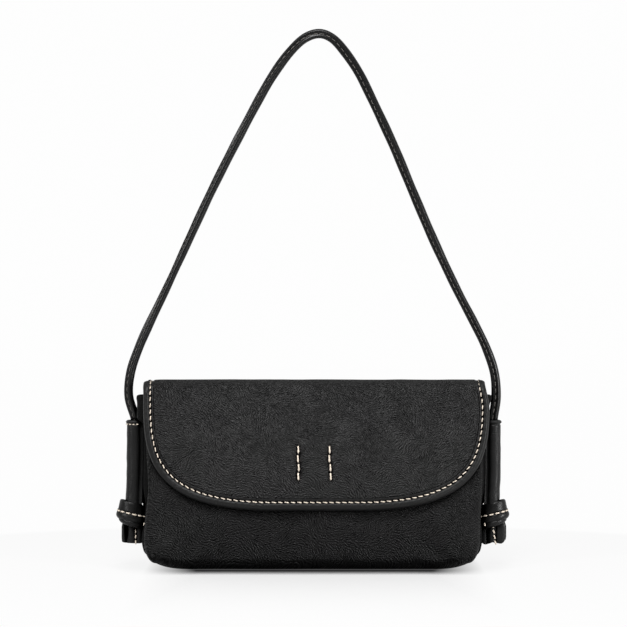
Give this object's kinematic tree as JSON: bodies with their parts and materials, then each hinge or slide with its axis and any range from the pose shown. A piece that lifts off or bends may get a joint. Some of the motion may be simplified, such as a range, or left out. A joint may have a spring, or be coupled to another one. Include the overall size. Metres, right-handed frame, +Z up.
{
  "type": "flap shoulder bag",
  "caption": "Small boxy leather shoulder bag with a rounded stitched front flap, a snap under it and a thin rolled strap knotted below two side sleeves.",
  "frame": {"origin": "on the floor, at the middle of the flat part of the base", "axes": "+X towards the bag's left-hand end as its wearer holds it facing forwards (right in the picture), +Y towards the back panel, +Z up"},
  "size_m": [0.3066, 0.081, 0.4171],
  "materials": {
    "leather": "black milled leather, semi-matte",
    "trim_leather": "black milled leather binding, semi-matte",
    "strap_leather": "black rolled leather, soft sheen",
    "lining": "plain black woven cotton",
    "board": "grey-brown fibre board",
    "snap_metal": "brushed",
    "thread": "thick waxed cream thread"
  },
  "bodies": {
    "bag": {"front_panel": "leather", "back_panel": "leather", "base_panel": "leather", "base_board": "board", "gusset_left": "leather", "gusset_right": "leather", "back_band": "leather", "lining_body": "lining", "lining_end_left": "lining", "lining_end_right": "lining", "slip_pocket": "lining", "mouth_facing_front": "leather", "mouth_facing_back": "leather", "snap_socket": "snap_metal", "socket_washer": "snap_metal", "sleeve_left": "leather", "sleeve_right": "leather", "strap_end_left": "strap_leather", "strap_end_right": "strap_leather"},
    "flap": {"flap_panel": "leather", "flap_lining": "lining", "flap_trim": "trim_leather", "snap_stud": "snap_metal", "closure_patch": "leather"},
    "strap": {"strap_arch": "strap_leather"}
  },
  "joints": [
    {"name": "flap_hinge", "type": "hinge", "parent": "bag", "child": "flap", "pos_m": [0, 0.0274, 0.13835], "axis": [-1, 0, 0], "range_deg": [0, 180], "deforming": ["strap_arch"]},
    {"name": "strap_swing", "type": "hinge", "parent": "bag", "child": "strap", "pos_m": [0, 0, 0.112], "axis": [1, 0, 0], "range_deg": [-110, 110]}
  ]
}
